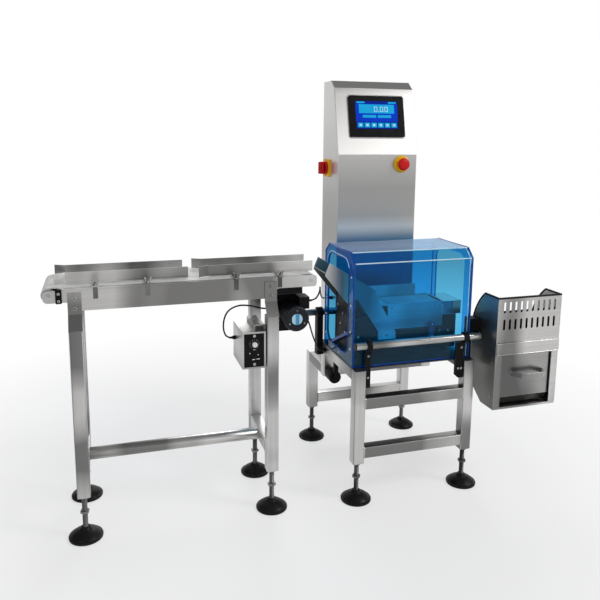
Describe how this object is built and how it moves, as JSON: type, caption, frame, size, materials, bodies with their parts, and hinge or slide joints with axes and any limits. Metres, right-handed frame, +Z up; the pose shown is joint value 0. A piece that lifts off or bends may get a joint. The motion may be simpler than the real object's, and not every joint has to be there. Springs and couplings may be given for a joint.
{
  "type": "checkweigher",
  "caption": "Checkweigher with an infeed belt on its own stand, a feed chute and weighing belt under a lift-off hood, a control column and a reject bin with a drawer.",
  "frame": {"origin": "under the middle of the bounding box, on the floor", "axes": "+X is the way the product travels, +Y points away from the operator, +Z is up"},
  "size_m": [1.6307, 0.6289, 1.38],
  "materials": {
    "stainless": "brushed stainless steel sheet and tube",
    "bright_steel": "polished steel",
    "machined": "machined aluminium",
    "grey_housing": "grey enamel",
    "black_metal": "black powder coat",
    "black_plastic": "moulded black plastic",
    "black_rubber": "black rubber",
    "belt": "smooth conveyor belting",
    "blue_acrylic": "clear blue acrylic",
    "clear_lens": "smoked clear plastic",
    "screen": "lit screen",
    "yellow_plastic": "yellow plastic",
    "red_plastic": "red plastic",
    "white_plastic": "white plastic"
  },
  "bodies": {
    "machine": {"weigh_frame_front": "stainless", "weigh_frame_rear": "stainless", "deck_plate": "black_metal", "levelling_pads": "black_plastic", "levelling_screws": "bright_steel", "weigh_base": "black_metal", "load_cell": "machined", "weigh_covers": "stainless", "weigh_belt": "belt", "outfeed_plate": "stainless", "feed_chute": "stainless", "chute_support": "black_metal", "photo_eye": "clear_lens", "pipes": "bright_steel", "pipe_end_caps": "black_rubber", "pipe_brackets": "black_metal", "weigh_motor": "grey_housing", "column_shell": "stainless", "hmi_bezel": "black_plastic", "hmi_screen": "screen", "estop_collar": "yellow_plastic", "isolator_plate": "yellow_plastic", "bin_body": "stainless", "bin_edging": "black_rubber", "bin_bracket": "black_metal", "infeed_side_plates": "stainless", "infeed_bed": "stainless", "infeed_belt": "belt", "tail_brackets": "stainless", "tension_clamps": "black_metal", "infeed_stand_left": "stainless", "infeed_stand_right": "stainless", "cross_tube": "stainless", "guide_brackets": "bright_steel", "wing_nuts": "bright_steel", "motor_plate": "black_metal", "gear_motor": "black_metal", "timing_belt": "black_rubber", "drive_cover": "black_metal", "speed_box": "stainless", "speed_panel": "black_plastic", "screw_heads": "bright_steel", "motor_lead_upper": "black_plastic", "motor_lead_lower": "black_plastic", "speed_box_lead": "black_plastic", "cable_glands": "black_plastic"},
    "infeed_drive_roller": {"drive_roller": "bright_steel"},
    "infeed_tail_roller": {"tail_roller": "bright_steel"},
    "motor_pulley_set": {"motor_pulley": "machined"},
    "weigh_drive": {"weigh_drive_roller": "bright_steel"},
    "weigh_tail": {"weigh_tail_roller": "bright_steel"},
    "hood_cover": {"hood": "blue_acrylic"},
    "front_guide_left": {"front_guide_1": "stainless"},
    "front_guide_right": {"front_guide_2": "stainless"},
    "rear_guide_left": {"rear_guide_1": "stainless"},
    "rear_guide_right": {"rear_guide_2": "stainless"},
    "stop_button": {"estop_button": "red_plastic"},
    "power_handle": {"isolator_handle": "red_plastic"},
    "speed_dial": {"speed_knob": "white_plastic"},
    "reject_drawer": {"bin_drawer": "stainless"}
  },
  "joints": [
    {"name": "infeed_drive_spin", "type": "hinge", "parent": "machine", "child": "infeed_drive_roller", "pos_m": [-0.0236, -0.06275, 0.7389], "axis": [0, 1, 0], "continuous": true},
    {"name": "infeed_tail_spin", "type": "hinge", "parent": "machine", "child": "infeed_tail_roller", "pos_m": [-0.7936, -0.06275, 0.7389], "axis": [0, 1, 0], "continuous": true},
    {"name": "motor_pulley_spin", "type": "hinge", "parent": "machine", "child": "motor_pulley_set", "pos_m": [-0.0796, 0.056, 0.63], "axis": [0, 1, 0], "continuous": true},
    {"name": "weigh_drive_spin", "type": "hinge", "parent": "machine", "child": "weigh_drive", "pos_m": [0.4544, -0.06275, 0.6152], "axis": [0, 1, 0], "continuous": true},
    {"name": "weigh_tail_spin", "type": "hinge", "parent": "machine", "child": "weigh_tail", "pos_m": [0.2784, -0.06275, 0.6152], "axis": [0, 1, 0], "continuous": true},
    {"name": "hood_lift", "type": "slide", "parent": "machine", "child": "hood_cover", "axis": [0, 0, 1], "range_m": [0, 0.095]},
    {"name": "front_guide_left_adjust", "type": "slide", "parent": "machine", "child": "front_guide_left", "axis": [0, -1, 0], "range_m": [0, 0.012]},
    {"name": "front_guide_right_adjust", "type": "slide", "parent": "machine", "child": "front_guide_right", "axis": [0, -1, 0], "range_m": [0, 0.012]},
    {"name": "rear_guide_left_adjust", "type": "slide", "parent": "machine", "child": "rear_guide_left", "axis": [0, 1, 0], "range_m": [0, 0.012]},
    {"name": "rear_guide_right_adjust", "type": "slide", "parent": "machine", "child": "rear_guide_right", "axis": [0, 1, 0], "range_m": [0, 0.012]},
    {"name": "stop_button_press", "type": "slide", "parent": "machine", "child": "stop_button", "axis": [0, 1, 0], "range_m": [0, 0.004]},
    {"name": "power_handle_turn", "type": "hinge", "parent": "machine", "child": "power_handle", "pos_m": [0.1664, 0.2335, 1.068], "axis": [-1, 0, 0], "range_deg": [0, 90]},
    {"name": "speed_dial_turn", "type": "hinge", "parent": "machine", "child": "speed_dial", "pos_m": [-0.2096, -0.1895, 0.556], "axis": [0, -1, 0], "range_deg": [0, 270]},
    {"name": "reject_drawer_slide", "type": "slide", "parent": "machine", "child": "reject_drawer", "axis": [0, -1, 0], "range_m": [0, 0.12]}
  ],
  "couplings": [
    {"joint": "infeed_tail_spin", "follows": "infeed_drive_spin", "ratio": 1},
    {"joint": "motor_pulley_spin", "follows": "infeed_drive_spin", "ratio": 1},
    {"joint": "weigh_tail_spin", "follows": "weigh_drive_spin", "ratio": 1}
  ]
}
